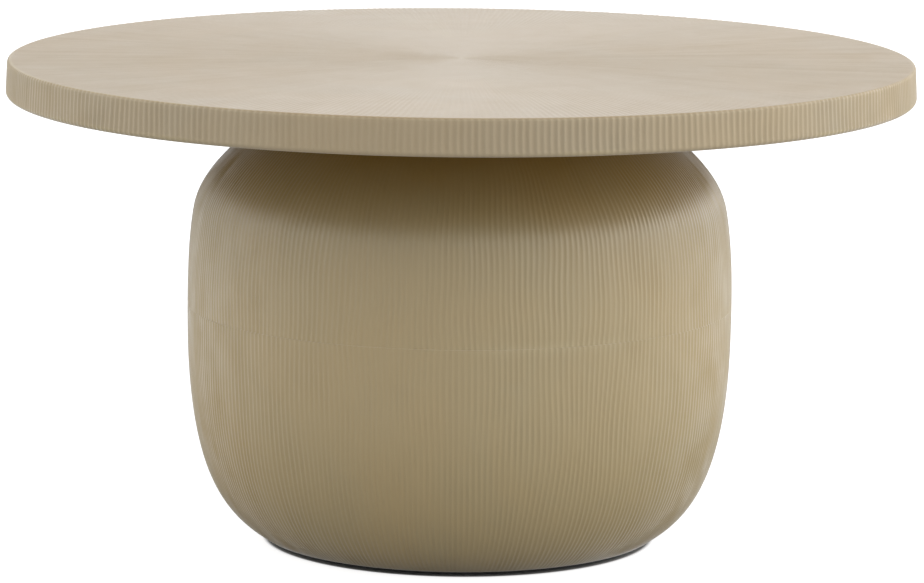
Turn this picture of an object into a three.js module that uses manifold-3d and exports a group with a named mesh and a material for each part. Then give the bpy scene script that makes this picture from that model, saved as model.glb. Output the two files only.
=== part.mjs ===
// A round coffee table: a cast tabletop pan with a drafted rim on a hollow cast drum pedestal.
// The pedestal is two bowls that meet at the girth, over a timber frame, on four screw feet.
// Millimetres, +Z up. The origin is on the floor, under the middle of the table.

import * as THREE from "three";
import { mergeVertices } from "three/addons/utils/BufferGeometryUtils.js";
import Module from "manifold-3d";

const wasm = await Module();
wasm.setup();

// Gaps and facets
const fitGap = 0.3; // left between two pieces that touch
const cutOver = 2; // a cutting tool runs this far past the face it cuts
const roundSides = 60; // of every large round piece, all in step with each other
const holeSides = 16;
const screwSides = 8;

// Tabletop pan
const tableHeight = 460;
const rimRadius = 430; // at the rim's lower edge
const rimHeight = 34.5;
const rimDraftDeg = 3; // the rim leans in towards the top
const rimTopRounding = 3;
const rimFootRounding = 5;
const roundingSteps = 3;
const faceSkin = 8;
const rimWall = 10;

// Tabletop core and the board that closes the pan
const boardRecess = 2; // the board lies this far up inside the rim
const boardThickness = 10;
const hubRadius = 180;
const coreSegmentCount = 6;
const boardScrewPlaceShare = 0.5; // of the way from the hub to the segment's outer edge

// Pedestal shells
const shellSkin = 8;
const capRadius = 147; // the flat top that carries the tabletop
const capThickness = 8;
const capHoleRadius = 40; // in the middle of the cap, for laying up the shell by hand
const girthRadius = 259.3;
const girthHeightShare = 0.5234; // of the way from the lip to the cap
const lipRadius = 188.3;
const lipHeight = 5;
const lipLand = 5.8; // width of the lip's underside
const flangeInnerRadius = 130; // the lower shell turns in to here and carries the floor board
const flangeThickness = 8;

// Pedestal outline: each handle is a share of the height of its half, each lean is in degrees
const barrelHandleShare = 0.217;
const shoulderRadiusShare = 0.9773; // of the girth's radius
const shoulderHeightShare = 0.4523; // of the way from the girth to the cap
const shoulderLeanDeg = 9.2; // inwards from upright
const shoulderLowHandleShare = 0.1;
const shoulderHighHandleShare = 0.187;
const domeLeanDeg = 55.7;
const domeHandleShare = 0.376;
const bowlHandleShare = 0.541;
const lipLeanDeg = 61.4; // outwards from upright
const lipHandleShare = 0.291;
const barrelSteps = 2;
const domeSteps = 6;
const bowlSteps = 8;

// Lap ring behind the seam at the girth
const lapHeight = 60;
const lapThickness = 10;

// Timber frame: head disc, floor board and the posts between them
const headThickness = 24;
const floorBoardThickness = 18;
const handHoleRadius = 70; // for reaching the bolts under the head disc
const postSide = 45;
const postCount = 4;
const postEdgeRoom = 5; // from a post's outer corner to the head disc's edge

// Plinth ring: the dark recessed foot of the drum
const plinthLift = 1.5; // clear of the floor
const plinthHeight = 10.2;
const plinthReveal = 3.5; // from the lip's inner face to the plinth

// Wood screws, in posts and board
const postScrew = { length: 60, radius: 2.5, headRadius: 5, headHeight: 3, tip: 6 };
const boardScrew = { length: 20, radius: 2, headRadius: 4, headHeight: 2.4, tip: 4 };

// Bolts that hold the tabletop down, with washers and tee nuts
const boltCount = 4;
const boltCircleShare = 0.69; // of the head disc's radius
const boltRadius = 4;
const boltRoom = 0.5; // between a bolt and the holes it only passes through
const boltHeadFlats = 13;
const boltHeadHeight = 5.3;
const boltEndRoom = 2.5; // from the bolt's end to the top of the core
const washerRadius = 12;
const washerThickness = 2;
const teeBarrelWall = 2;
const teeFlangeRadius = 11;
const teeFlangeThickness = 1.5;

// Screw feet, on the crossing lines between the posts
const footCount = 4;
const stemRadius = 4;
const stemTravel = 10; // the feet screw out this far
const footTeeFlangeRadius = 13;
const footTeeThickness = 2;
const footTeeRoom = 2; // round the tee nut's flange, in the shell's flange
const footTeeShort = 2; // the barrel ends this far under the floor board's top
const hexFlats = 13;
const hexHeight = 5;
const padRadius = 17;
const padBaseHeight = 4;
const padBossRadius = 9;
const padBevel = 1;
const padRoom = 2; // round the pad, in the plinth ring's pocket

// Heights, from the top down
const faceBottomZ = tableHeight - faceSkin;
const coreTopZ = faceBottomZ - fitGap;
const rimFootZ = tableHeight - rimHeight;
const boardBottomZ = rimFootZ + boardRecess;
const boardTopZ = boardBottomZ + boardThickness;
const coreBottomZ = boardTopZ + fitGap;
const coreThickness = coreTopZ - coreBottomZ;
const capTopZ = boardBottomZ - fitGap;
const capBottomZ = capTopZ - capThickness;
const headTopZ = capBottomZ - fitGap;
const headBottomZ = headTopZ - headThickness;
const girthZ = lipHeight + (capTopZ - lipHeight) * girthHeightShare;

// Heights, from the floor up
const plinthTopZ = plinthLift + plinthHeight;
const flangeBottomZ = plinthTopZ + fitGap;
const flangeTopZ = flangeBottomZ + flangeThickness;
const floorBoardBottomZ = flangeTopZ + fitGap;
const floorBoardTopZ = floorBoardBottomZ + floorBoardThickness;

// Colours and surfaces
const castFinish = { color: 0xb3a17f, roughness: 0.5, metalness: 0 };
const plyFinish = { color: 0xc7a878, roughness: 0.7, metalness: 0 };
const timberFinish = { color: 0xcfae7c, roughness: 0.75, metalness: 0 };
const boardFinish = { color: 0x3a352e, roughness: 0.7, metalness: 0 };
const lapFinish = { color: 0xa9a596, roughness: 0.8, metalness: 0 };
const plinthFinish = { color: 0x1b1a18, roughness: 0.8, metalness: 0 };
const zincFinish = { color: 0xb9bcc0, roughness: 0.35, metalness: 1 };
const screwFinish = { color: 0xc9a44c, roughness: 0.35, metalness: 1 };
const padFinish = { color: 0x2a2927, roughness: 0.6, metalness: 0 };

const degrees = THREE.MathUtils.degToRad;
const table = new THREE.Group();

// A named piece with a material of its own
function piece(name, geometry, finish) {
  const mesh = new THREE.Mesh(geometry, new THREE.MeshStandardMaterial(finish));
  mesh.name = name;
  return mesh;
}

// The same faces with shared corners merged, collapsed faces dropped and every face turned out
function closed(geometry) {
  const bare = geometry.clone();
  bare.deleteAttribute("normal");
  bare.deleteAttribute("uv");
  const merged = mergeVertices(bare);
  const corners = merged.index.array;
  const at = merged.getAttribute("position");
  const [a, b, c] = [new THREE.Vector3(), new THREE.Vector3(), new THREE.Vector3()];
  const kept = [];
  let volume = 0;
  for (let i = 0; i < corners.length; i += 3) {
    const [p, q, r] = [corners[i], corners[i + 1], corners[i + 2]];
    if (p === q || q === r || r === p) continue;
    kept.push(p, q, r);
    a.fromBufferAttribute(at, p);
    b.fromBufferAttribute(at, q);
    c.fromBufferAttribute(at, r);
    volume += a.dot(b.cross(c));
  }
  merged.setIndex(volume < 0 ? kept.reverse() : kept);
  return merged;
}

// A solid of revolution about Z from [radius, height] pairs
function turned(outline, sides) {
  const points = outline.map(([radius, height]) => new THREE.Vector2(radius, height));
  const geometry = new THREE.LatheGeometry(points, sides);
  return closed(geometry.rotateX(Math.PI / 2));
}

// A ring of rectangular section
function ring(innerRadius, outerRadius, bottom, top, sides) {
  const outline = [
    [innerRadius, bottom],
    [outerRadius, bottom],
    [outerRadius, top],
    [innerRadius, top],
    [innerRadius, bottom],
  ];
  return turned(outline, sides);
}

// A round bar between two heights
function rod(radius, bottom, top, sides) {
  return turned([[0, bottom], [radius, bottom], [radius, top], [0, top]], sides);
}

// A hexagonal prism between two heights, given its width across the flats
function hexagon(flats, bottom, top) {
  const sides = 6;
  return rod(flats / 2 / Math.cos(Math.PI / sides), bottom, top, sides);
}

function toSolid(geometry) {
  const mesh = new wasm.Mesh({
    numProp: 3,
    vertProperties: new Float32Array(geometry.getAttribute("position").array),
    triVerts: new Uint32Array(geometry.index.array),
  });
  return new wasm.Manifold(mesh);
}

function toGeometry(solid) {
  const mesh = solid.getMesh();
  const geometry = new THREE.BufferGeometry();
  geometry.setAttribute("position", new THREE.BufferAttribute(mesh.vertProperties, mesh.numProp));
  geometry.setIndex(new THREE.BufferAttribute(mesh.triVerts, 1));
  return geometry;
}

// The blank with every tool cut out of it
function cut(blank, tools) {
  const left = tools.reduce((solid, tool) => solid.subtract(toSolid(tool)), toSolid(blank));
  return toGeometry(left);
}

function joined(first, second) {
  return toGeometry(toSolid(first).add(toSolid(second)));
}

// The tool copied to each place in the plane
function copies(tool, places) {
  return places.map(([x, y]) => tool.clone().translate(x, y, 0));
}

// Evenly spaced places on a circle
function around(radius, count, startDeg) {
  const step = (2 * Math.PI) / count;
  const angles = Array.from({ length: count }, (_, i) => degrees(startDeg) + i * step);
  return angles.map((angle) => [radius * Math.cos(angle), radius * Math.sin(angle)]);
}

// One mesh at each place, at one height, all alike and numbered from 1
function repeated(name, geometry, finish, places, z, group) {
  places.forEach(([x, y], i) => {
    const mesh = piece(`${name}_${i + 1}`, geometry, finish);
    mesh.position.set(x, y, z);
    group.add(mesh);
  });
}

// Radius of an outline at a height, between its nearest two points
function radiusAt(outline, z) {
  for (let i = 1; i < outline.length; i += 1) {
    const [[r0, z0], [r1, z1]] = [outline[i - 1], outline[i]];
    if ((z0 - z) * (z1 - z) <= 0 && z0 !== z1) return r0 + ((r1 - r0) * (z - z0)) / (z1 - z0);
  }
  return outline[outline.length - 1][0];
}

// Step of a given length from upright, leaning outwards by the angle
function leaning(length, leanDeg) {
  const lean = degrees(leanDeg);
  return new THREE.Vector2(length * Math.sin(lean), length * Math.cos(lean));
}

// Points along a curve, and the same points moved inwards by the skin
function skinned(curves) {
  const outer = [];
  const inner = [];
  for (const { curve, steps } of curves) {
    for (let i = outer.length ? 1 : 0; i <= steps; i += 1) {
      const point = curve.getPoint(i / steps);
      const along = curve.getTangent(i / steps);
      const inwards = Math.sign(along.y) * shellSkin;
      outer.push([point.x, point.y]);
      inner.push([point.x - inwards * along.y, point.y + inwards * along.x]);
    }
  }
  return { outer, inner };
}

// Outlines of the two shells, each from the girth outwards
const upperRise = capTopZ - girthZ;
const lowerDrop = girthZ - lipHeight;
const upperStart = new THREE.Vector2(girthRadius, girthZ + fitGap / 2);
const lowerStart = new THREE.Vector2(girthRadius, girthZ - fitGap / 2);
const shoulder = new THREE.Vector2(
  girthRadius * shoulderRadiusShare,
  girthZ + upperRise * shoulderHeightShare,
);
const capEdge = new THREE.Vector2(capRadius, capTopZ);
const lipEdge = new THREE.Vector2(lipRadius, lipHeight);
const barrelCurve = new THREE.CubicBezierCurve(
  upperStart,
  upperStart.clone().add(leaning(upperRise * barrelHandleShare, 0)),
  shoulder.clone().sub(leaning(upperRise * shoulderLowHandleShare, -shoulderLeanDeg)),
  shoulder,
);
const domeCurve = new THREE.CubicBezierCurve(
  shoulder,
  shoulder.clone().add(leaning(upperRise * shoulderHighHandleShare, -shoulderLeanDeg)),
  capEdge.clone().sub(leaning(upperRise * domeHandleShare, -domeLeanDeg)),
  capEdge,
);
const bowlCurve = new THREE.CubicBezierCurve(
  lowerStart,
  lowerStart.clone().sub(leaning(lowerDrop * bowlHandleShare, 0)),
  lipEdge.clone().add(leaning(lowerDrop * lipHandleShare, lipLeanDeg)),
  lipEdge,
);
const upper = skinned([
  { curve: barrelCurve, steps: barrelSteps },
  { curve: domeCurve, steps: domeSteps },
]);
const lower = skinned([{ curve: bowlCurve, steps: bowlSteps }]);

// Places that more than one piece shares
const headRadius = radiusAt(upper.inner, headTopZ) - fitGap;
const postOffset = (headRadius - postEdgeRoom) / Math.SQRT2 - postSide / 2;
const postPlaces = around(postOffset * Math.SQRT2, postCount, 45);
const boltPlaces = around(headRadius * boltCircleShare, boltCount, 0);
const lipInnerRadius = lipRadius - lipLand;
const plinthRadius = lipInnerRadius - plinthReveal;
const footPlaces = around((plinthRadius + flangeInnerRadius) / 2, footCount, 0);
const rimLean = Math.tan(degrees(rimDraftDeg));
const panRadiusAt = (z) => rimRadius - rimWall - (z - rimFootZ) * rimLean;

// A countersunk wood screw with its head's face at height 0, pointing down. Grown, it is its own hole.
function woodScrew({ length, radius, headRadius: head, headHeight, tip }, grown, top) {
  const outline = [
    [0, top],
    [head + grown, top],
    [head + grown, 0],
    [radius + grown, -headHeight],
    [radius + grown, tip - length],
    [0, -length - grown],
  ];
  return turned(top ? outline : outline.filter((_, i) => i !== 1), screwSides);
}

function screwAndHole(size) {
  return { screw: woodScrew(size, 0, 0), hole: woodScrew(size, fitGap, cutOver) };
}

// A tee nut with its flange's outer face at height 0 and its barrel running down
function teeNut(boreRadius, barrelLength, flangeRadius, flangeThickness) {
  const barrelRadius = boreRadius + teeBarrelWall;
  const outline = [
    [boreRadius, 0],
    [flangeRadius, 0],
    [flangeRadius, -flangeThickness],
    [barrelRadius, -flangeThickness],
    [barrelRadius, -flangeThickness - barrelLength],
    [boreRadius, -flangeThickness - barrelLength],
    [boreRadius, 0],
  ];
  return turned(outline, holeSides);
}

// Rounded corner of an outline: points on an arc from one angle to another
function corner(centreRadius, centreZ, radius, startDeg, endDeg) {
  const step = (endDeg - startDeg) / roundingSteps;
  const angles = Array.from({ length: roundingSteps + 1 }, (_, i) => degrees(startDeg + i * step));
  return angles.map((a) => [centreRadius + radius * Math.cos(a), centreZ + radius * Math.sin(a)]);
}

// Tabletop
function tabletopShell() {
  const rimAt = (z) => rimRadius - (z - rimFootZ) * rimLean;
  const topArcZ = tableHeight - rimTopRounding;
  const footArcZ = rimFootZ + rimFootRounding;
  const outline = [
    [0, tableHeight],
    ...corner(rimAt(topArcZ) - rimTopRounding, topArcZ, rimTopRounding, 90, rimDraftDeg),
    ...corner(rimAt(footArcZ) - rimFootRounding, footArcZ, rimFootRounding, rimDraftDeg, -90),
    [panRadiusAt(rimFootZ), rimFootZ],
    [panRadiusAt(faceBottomZ), faceBottomZ],
    [0, faceBottomZ],
  ];
  return turned(outline, roundSides);
}

function coreHub(teeBarrelRadius) {
  const counterbore = teeFlangeThickness + fitGap;
  const blank = rod(hubRadius, 0, coreThickness, roundSides);
  const bore = rod(teeBarrelRadius + fitGap, -cutOver, coreThickness + cutOver, holeSides);
  const seat = rod(teeFlangeRadius + fitGap, coreThickness - counterbore, coreThickness + cutOver, holeSides);
  return cut(blank, [...copies(bore, boltPlaces), ...copies(seat, boltPlaces)]);
}

// A core segment lies between the hub and the rim, its straight sides half a gap from the next one's
function coreSegment(screwHole, screwPlace) {
  const facet = Math.cos(Math.PI / roundSides);
  const innerRadius = (hubRadius + fitGap) / facet;
  const outerRadius = (panRadiusAt(coreTopZ) - fitGap) * facet;
  const half = Math.PI / coreSegmentCount;
  const halfAt = (radius) => half - Math.asin(fitGap / 2 / radius);
  const shape = new THREE.Shape();
  shape.absarc(0, 0, outerRadius, -halfAt(outerRadius), halfAt(outerRadius), false);
  shape.absarc(0, 0, innerRadius, halfAt(innerRadius), -halfAt(innerRadius), true);
  const curveSegments = Math.ceil(roundSides / coreSegmentCount);
  const slab = new THREE.ExtrudeGeometry(shape, { depth: coreThickness, bevelEnabled: false, curveSegments });
  return cut(closed(slab), copies(screwHole, [[screwPlace, 0]]));
}

function buildTabletop() {
  const group = new THREE.Group();
  group.add(piece("tabletop_shell", tabletopShell(), castFinish));

  const teeBore = boltRadius + fitGap;
  const teeBarrelRadius = teeBore + teeBarrelWall;
  const hub = piece("core_hub", coreHub(teeBarrelRadius), plyFinish);
  hub.position.z = coreBottomZ;
  group.add(hub);

  const { screw, hole } = screwAndHole(boardScrew);
  screw.rotateX(Math.PI);
  hole.rotateX(Math.PI);
  const segmentReach = panRadiusAt(coreTopZ) - hubRadius;
  const screwPlace = hubRadius + segmentReach * boardScrewPlaceShare;
  const aboveBoard = coreBottomZ - boardBottomZ;
  const segment = coreSegment(hole.clone().translate(0, 0, -aboveBoard), screwPlace);
  for (let i = 0; i < coreSegmentCount; i += 1) {
    const mesh = piece(`core_segment_${i + 1}`, segment, plyFinish);
    mesh.position.z = coreBottomZ;
    mesh.rotation.z = (i * 2 * Math.PI) / coreSegmentCount;
    group.add(mesh);
  }

  const boardRadius = panRadiusAt(boardTopZ) - fitGap;
  const screwPlaces = around(screwPlace, coreSegmentCount, 0);
  const boltHole = rod(boltRadius + boltRoom, -cutOver, boardThickness + cutOver, holeSides);
  const boardBlank = rod(boardRadius, 0, boardThickness, roundSides);
  const board = cut(boardBlank, [...copies(hole, screwPlaces), ...copies(boltHole, boltPlaces)]);
  const boardMesh = piece("underside_board", board, boardFinish);
  boardMesh.position.z = boardBottomZ;
  group.add(boardMesh);
  repeated("board_screw", screw, screwFinish, screwPlaces, boardBottomZ, group);

  const teeBarrel = coreThickness - teeFlangeThickness;
  const tee = teeNut(teeBore, teeBarrel, teeFlangeRadius, teeFlangeThickness);
  repeated("top_tee_nut", tee, zincFinish, boltPlaces, coreTopZ, group);

  const washerTopZ = headBottomZ - fitGap;
  const washer = ring(boltRadius + boltRoom, washerRadius, -washerThickness, 0, holeSides);
  repeated("top_washer", washer, zincFinish, boltPlaces, washerTopZ, group);

  const boltSeatZ = washerTopZ - washerThickness - fitGap;
  const boltLength = coreTopZ - boltEndRoom - boltSeatZ;
  const shank = rod(boltRadius, -boltHeadHeight / 2, boltLength, holeSides);
  const bolt = joined(hexagon(boltHeadFlats, -boltHeadHeight, 0), shank);
  repeated("top_bolt", bolt, zincFinish, boltPlaces, boltSeatZ, group);
  return group;
}

// Pedestal
function upperShell() {
  const inside = upper.inner.filter(([, z]) => z < capBottomZ);
  const outline = [
    [capHoleRadius, capTopZ],
    ...upper.outer.toReversed(),
    ...inside,
    [radiusAt(upper.inner, capBottomZ), capBottomZ],
    [capHoleRadius, capBottomZ],
    [capHoleRadius, capTopZ],
  ];
  const boltHole = rod(boltRadius + boltRoom, capBottomZ - cutOver, capTopZ + cutOver, holeSides);
  return cut(turned(outline, roundSides), copies(boltHole, boltPlaces));
}

function lowerShell() {
  const inside = lower.inner.filter(([, z]) => z > flangeTopZ);
  const outline = [
    ...lower.outer,
    [lipInnerRadius, lipHeight],
    [lipInnerRadius, flangeBottomZ],
    [flangeInnerRadius, flangeBottomZ],
    [flangeInnerRadius, flangeTopZ],
    [radiusAt(lower.inner, flangeTopZ), flangeTopZ],
    ...inside.toReversed(),
    lower.outer[0],
  ];
  const footRadius = footTeeFlangeRadius + footTeeRoom;
  const footHole = rod(footRadius, flangeBottomZ - cutOver, flangeTopZ + cutOver, holeSides);
  return cut(turned(outline, roundSides), copies(footHole, footPlaces));
}

function buildPedestal() {
  const group = new THREE.Group();
  group.add(piece("pedestal_upper_shell", upperShell(), castFinish));
  group.add(piece("pedestal_lower_shell", lowerShell(), castFinish));

  const lapTopZ = girthZ + lapHeight / 2;
  const lapBottomZ = girthZ - lapHeight / 2;
  const tightest = Math.min(radiusAt(upper.inner, lapTopZ), radiusAt(lower.inner, lapBottomZ));
  const lapRadius = tightest - fitGap;
  const lap = ring(lapRadius - lapThickness, lapRadius, lapBottomZ, lapTopZ, roundSides);
  group.add(piece("girth_lap_ring", lap, lapFinish));

  const { screw, hole } = screwAndHole(postScrew);
  const screwUp = screw.clone().rotateX(Math.PI);
  const holeUp = hole.clone().rotateX(Math.PI);

  const boltHole = rod(boltRadius + boltRoom, -cutOver, headThickness + cutOver, holeSides);
  const headTools = copies(hole.clone().translate(0, 0, headThickness), postPlaces);
  const headBlank = rod(headRadius, 0, headThickness, roundSides);
  const head = piece("head_disc", cut(headBlank, [...headTools, ...copies(boltHole, boltPlaces)]), plyFinish);
  head.position.z = headBottomZ;
  group.add(head);

  const floorRadius = radiusAt(lower.inner, floorBoardBottomZ) - fitGap;
  const teeRadius = stemRadius + fitGap + teeBarrelWall + fitGap;
  const teeHole = rod(teeRadius, -cutOver, floorBoardThickness + cutOver, holeSides);
  const floorBlank = ring(handHoleRadius, floorRadius, 0, floorBoardThickness, roundSides);
  const floorTools = [...copies(holeUp, postPlaces), ...copies(teeHole, footPlaces)];
  const floorBoard = piece("floor_board", cut(floorBlank, floorTools), plyFinish);
  floorBoard.position.z = floorBoardBottomZ;
  group.add(floorBoard);

  const postBottomZ = floorBoardTopZ + fitGap;
  const postLength = headBottomZ - fitGap - postBottomZ;
  const timber = closed(new THREE.BoxGeometry(postSide, postSide, postLength));
  timber.translate(0, 0, postLength / 2);
  const topPilot = hole.clone().translate(0, 0, headTopZ - postBottomZ);
  const footPilot = holeUp.clone().translate(0, 0, floorBoardBottomZ - postBottomZ);
  const post = cut(timber, [topPilot, footPilot]);
  repeated("post", post, timberFinish, postPlaces, postBottomZ, group);
  repeated("post_upper_screw", screw, screwFinish, postPlaces, headTopZ, group);
  repeated("post_lower_screw", screwUp, screwFinish, postPlaces, floorBoardBottomZ, group);

  const pocket = rod(padRadius + padRoom, plinthLift - cutOver, plinthTopZ + cutOver, holeSides);
  const plinthBlank = ring(flangeInnerRadius, plinthRadius, plinthLift, plinthTopZ, roundSides);
  group.add(piece("plinth_ring", cut(plinthBlank, copies(pocket, footPlaces)), plinthFinish));
  return group;
}

// Feet, screwed all the way in: the pads stand on the floor
function buildFeet() {
  const group = new THREE.Group();
  const teeFootZ = floorBoardBottomZ - fitGap - footTeeThickness;
  const teeBarrel = floorBoardThickness + fitGap - footTeeShort;
  const tee = teeNut(stemRadius + fitGap, teeBarrel, footTeeFlangeRadius, footTeeThickness);
  repeated("foot_tee_nut", tee.rotateX(Math.PI), zincFinish, footPlaces, teeFootZ, group);

  const hexTopZ = teeFootZ - fitGap;
  const padTopZ = hexTopZ - hexHeight - fitGap;
  const stemBottomZ = padBaseHeight + fitGap;
  const stemTopZ = floorBoardTopZ - footTeeShort + stemTravel;
  const stemRod = rod(stemRadius, stemBottomZ, stemTopZ, holeSides);
  const stem = joined(stemRod, hexagon(hexFlats, hexTopZ - hexHeight, hexTopZ));
  repeated("foot_stem", stem, zincFinish, footPlaces, 0, group);

  const socketRadius = stemRadius + fitGap;
  const padOutline = [
    [0, 0],
    [padRadius - padBevel, 0],
    [padRadius, padBevel],
    [padRadius, padBaseHeight],
    [padBossRadius, padBaseHeight + padBevel],
    [padBossRadius, padTopZ],
    [socketRadius, padTopZ],
    [socketRadius, padBaseHeight],
    [0, padBaseHeight],
  ];
  repeated("foot_pad", turned(padOutline, holeSides), padFinish, footPlaces, 0, group);
  return group;
}

table.add(buildTabletop(), buildPedestal(), buildFeet());

export default table;
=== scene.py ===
"""Looks of a round fluted drum table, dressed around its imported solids.

The cast tabletop and the two cast bowls of the drum are built again here with their fine flutes.
The other solids keep their shapes and get finishes of their own. All lengths are in metres.
"""

import logging
import math
from collections.abc import Iterable, Sequence
from dataclasses import dataclass, field
from enum import Enum

import bmesh
import bpy
import numpy as np
from mathutils import Matrix, Vector
from mathutils.geometry import delaunay_2d_cdt


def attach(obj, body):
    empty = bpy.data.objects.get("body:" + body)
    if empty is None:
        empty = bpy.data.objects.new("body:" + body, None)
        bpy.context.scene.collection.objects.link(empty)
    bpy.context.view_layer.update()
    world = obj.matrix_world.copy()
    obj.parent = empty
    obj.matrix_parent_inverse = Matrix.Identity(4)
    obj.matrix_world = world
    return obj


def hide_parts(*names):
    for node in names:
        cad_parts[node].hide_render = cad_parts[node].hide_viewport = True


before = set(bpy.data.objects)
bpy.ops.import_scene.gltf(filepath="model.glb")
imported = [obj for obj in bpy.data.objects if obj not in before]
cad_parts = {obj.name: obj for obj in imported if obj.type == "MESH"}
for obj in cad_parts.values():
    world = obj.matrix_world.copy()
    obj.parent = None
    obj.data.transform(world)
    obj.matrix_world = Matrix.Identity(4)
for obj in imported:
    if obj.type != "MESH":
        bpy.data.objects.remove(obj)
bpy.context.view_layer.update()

LOG = logging.getLogger("table")
WHITE = (1.0, 1.0, 1.0, 1.0)
TURN = 2 * math.pi
# hollow carries painted shade in the flute hollows, rubbed lightens rounded edges as painted
# highlight and the seam as a paler band, deep carries painted shade
MARKS = ("hollow", "rubbed", "deep")  # numbers that each point of a sketch carries
Socket = bpy.types.NodeSocket
Value = float | Sequence[float] | Socket


class Way(Enum):
    """Which way a turned surface is followed along its outline."""

    UP = 1
    DOWN = -1


class Blend(Enum):
    """How one colour is laid over another."""

    MIX = "MIX"
    MULTIPLY = "MULTIPLY"


class Fibre(Enum):
    """Axis that a timber's grain runs along."""

    ALONG_X = 0
    ALONG_Z = 2


def paint(code: str) -> tuple[float, float, float, float]:
    """Turns a screen colour into the linear colour that a shader takes.

    Args:
        code: Six hexadecimal digits after a hash sign.

    Returns:
        Linear red, green, blue and a full alpha.
    """
    parts = [int(code[i:i + 2], 16) / 255 for i in (1, 3, 5)]
    linear = [p / 12.92 if p <= 0.04045 else ((p + 0.055) / 1.055) ** 2.4 for p in parts]
    return (*linear, 1.0)


# ---- Turned outlines ----


def cubic(handles: Sequence[Sequence[float]], shares: np.ndarray) -> np.ndarray:
    """Points of a cubic curve.

    Args:
        handles: Its four handles, as radius and height.
        shares: Places along it, from 0 to 1.

    Returns:
        One radius and height for each place.
    """
    a, b, c, d = (np.asarray(h, float) for h in handles)
    t = shares[:, None]
    return (1 - t) ** 3 * a + 3 * (1 - t) ** 2 * t * b + 3 * (1 - t) * t * t * c + t ** 3 * d


class Outline:
    """A smooth chain of curves in radius and height, measured along its own length."""

    FINE = 1200  # points that each curve is first broken into

    def __init__(self, curves: Iterable[Sequence[Sequence[float]]]) -> None:
        """Breaks the curves into many short steps.

        Args:
            curves: Cubic curves by their handles, each starting where the last one ends.
        """
        shares = np.linspace(0, 1, self.FINE)
        parts = [cubic(handles, shares) for handles in curves]
        self.points = np.vstack([parts[0], *(p[1:] for p in parts[1:])])
        steps = np.linalg.norm(np.diff(self.points, axis=0), axis=1)
        self.places = np.concatenate([[0.0], np.cumsum(steps)])
        self.length = float(self.places[-1])

    def at(self, places: np.ndarray) -> np.ndarray:
        """Radius and height at each length along the outline."""
        return np.stack([np.interp(places, self.places, self.points[:, k]) for k in (0, 1)], 1)

    def along(self, places: np.ndarray) -> np.ndarray:
        """Unit direction of travel at each length along the outline.

        Args:
            places: Lengths along the outline.

        Returns:
            One direction, as radius and height, for each length.
        """
        slopes = np.gradient(self.points, self.places, axis=0)
        found = np.stack([np.interp(places, self.places, slopes[:, k]) for k in (0, 1)], 1)
        return found / np.linalg.norm(found, axis=1)[:, None]


@dataclass(frozen=True)
class Rows:
    """Rings of a turned surface: where each is, which way is into the wall, and how deep it is cut.

    Attributes:
        places: Radius and height of each ring, at the ridges of the flutes.
        inwards: Unit direction into the wall at each ring.
        cuts: Share of the full flute depth at each ring.
        eased: How far each ring is drawn into the wall, for a softened edge.
        rubbed: How much each ring is lightened, from 0 to 1: painted highlight on the rim's rounded
            edges, and a paler band along the drum's seam.
        deep: How much painted shade each ring takes, from 0 to 1.
    """

    places: np.ndarray
    inwards: np.ndarray
    cuts: np.ndarray
    eased: np.ndarray
    rubbed: np.ndarray
    deep: np.ndarray


@dataclass(frozen=True)
class Fluting:
    """Fine flutes round a turned surface: rounded hollows that meet in narrow ridges.

    Attributes:
        count: Flutes in a full turn.
        reach: Usual radius of the surface.
        depth: Deepest cut, where the flutes are wide.
        depth_share: Deepest cut as a share of a flute's width, where they are narrow.
        steps: Points across one flute.
        hollow: Power of the section, which under one makes the ridges narrower than the hollows.
        width_spread: How much the flutes differ in width.
        depth_spread: How much the flutes differ in depth.
        drift: How far a flute wanders sideways along its length, as a share of its width.
        swell: Height of the slow unevenness of the casting.
        unevenness: How much the depth drifts along and across the flutes.
        long: Shortest and longest wave of the slow unevenness.
        short: Shortest and longest wave of the depth's drift.
        seed: Starts the random draws.
    """

    count: int
    reach: float
    depth: float
    depth_share: float
    seed: int
    steps: int = 6
    hollow: float = 0.65
    width_spread: float = 0.08
    depth_spread: float = 0.25
    drift: float = 0.35
    swell: float = 0.0003
    unevenness: float = 0.35
    long: tuple[float, float] = (0.07, 0.22)
    short: tuple[float, float] = (0.018, 0.09)

    def section(self) -> tuple[np.ndarray, np.ndarray, np.ndarray]:
        """Draws the flutes round one turn.

        Returns:
            The angle of each point, how far down its hollow it lies from 0 to 1, and how deep
            its flute is as a share of the deepest.
        """
        draw = np.random.default_rng(self.seed)
        widths = 1 + self.width_spread * draw.uniform(-1, 1, self.count)
        ridges = np.concatenate([[0.0], np.cumsum(widths)]) * TURN / widths.sum()
        across = np.arange(self.steps) / self.steps
        angles = (ridges[:-1, None] + np.diff(ridges)[:, None] * across).ravel()
        hollows = np.tile((0.5 - 0.5 * np.cos(TURN * across)) ** self.hollow, self.count)
        depths = 1 - self.depth_spread * draw.uniform(0, 1, self.count)
        return angles + draw.uniform(0, TURN), hollows, np.repeat(depths, self.steps)

    def waves(self, angles: np.ndarray, places: np.ndarray, draws: int,
              sizes: tuple[float, float], seed: int) -> np.ndarray:
        """Random waves over the surface, mostly between -1 and 1.

        Args:
            angles: Angle of each point of a ring.
            places: Length along the outline of each ring.
            draws: How many waves are laid over each other.
            sizes: The shortest and the longest wave.
            seed: Starts the random draws.

        Returns:
            One value for each ring and point.
        """
        draw = np.random.default_rng(seed)
        total = np.zeros((len(places), len(angles)))
        for _ in range(draws):
            wave, lean = draw.uniform(*sizes), draw.uniform(0, TURN)
            turns = round(math.sin(lean) * TURN * self.reach / wave)
            run = TURN * places[:, None] / wave * math.cos(lean)
            total += np.cos(run + turns * angles[None, :] + draw.uniform(0, TURN))
        return total * math.sqrt(2 / draws) / 2


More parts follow.
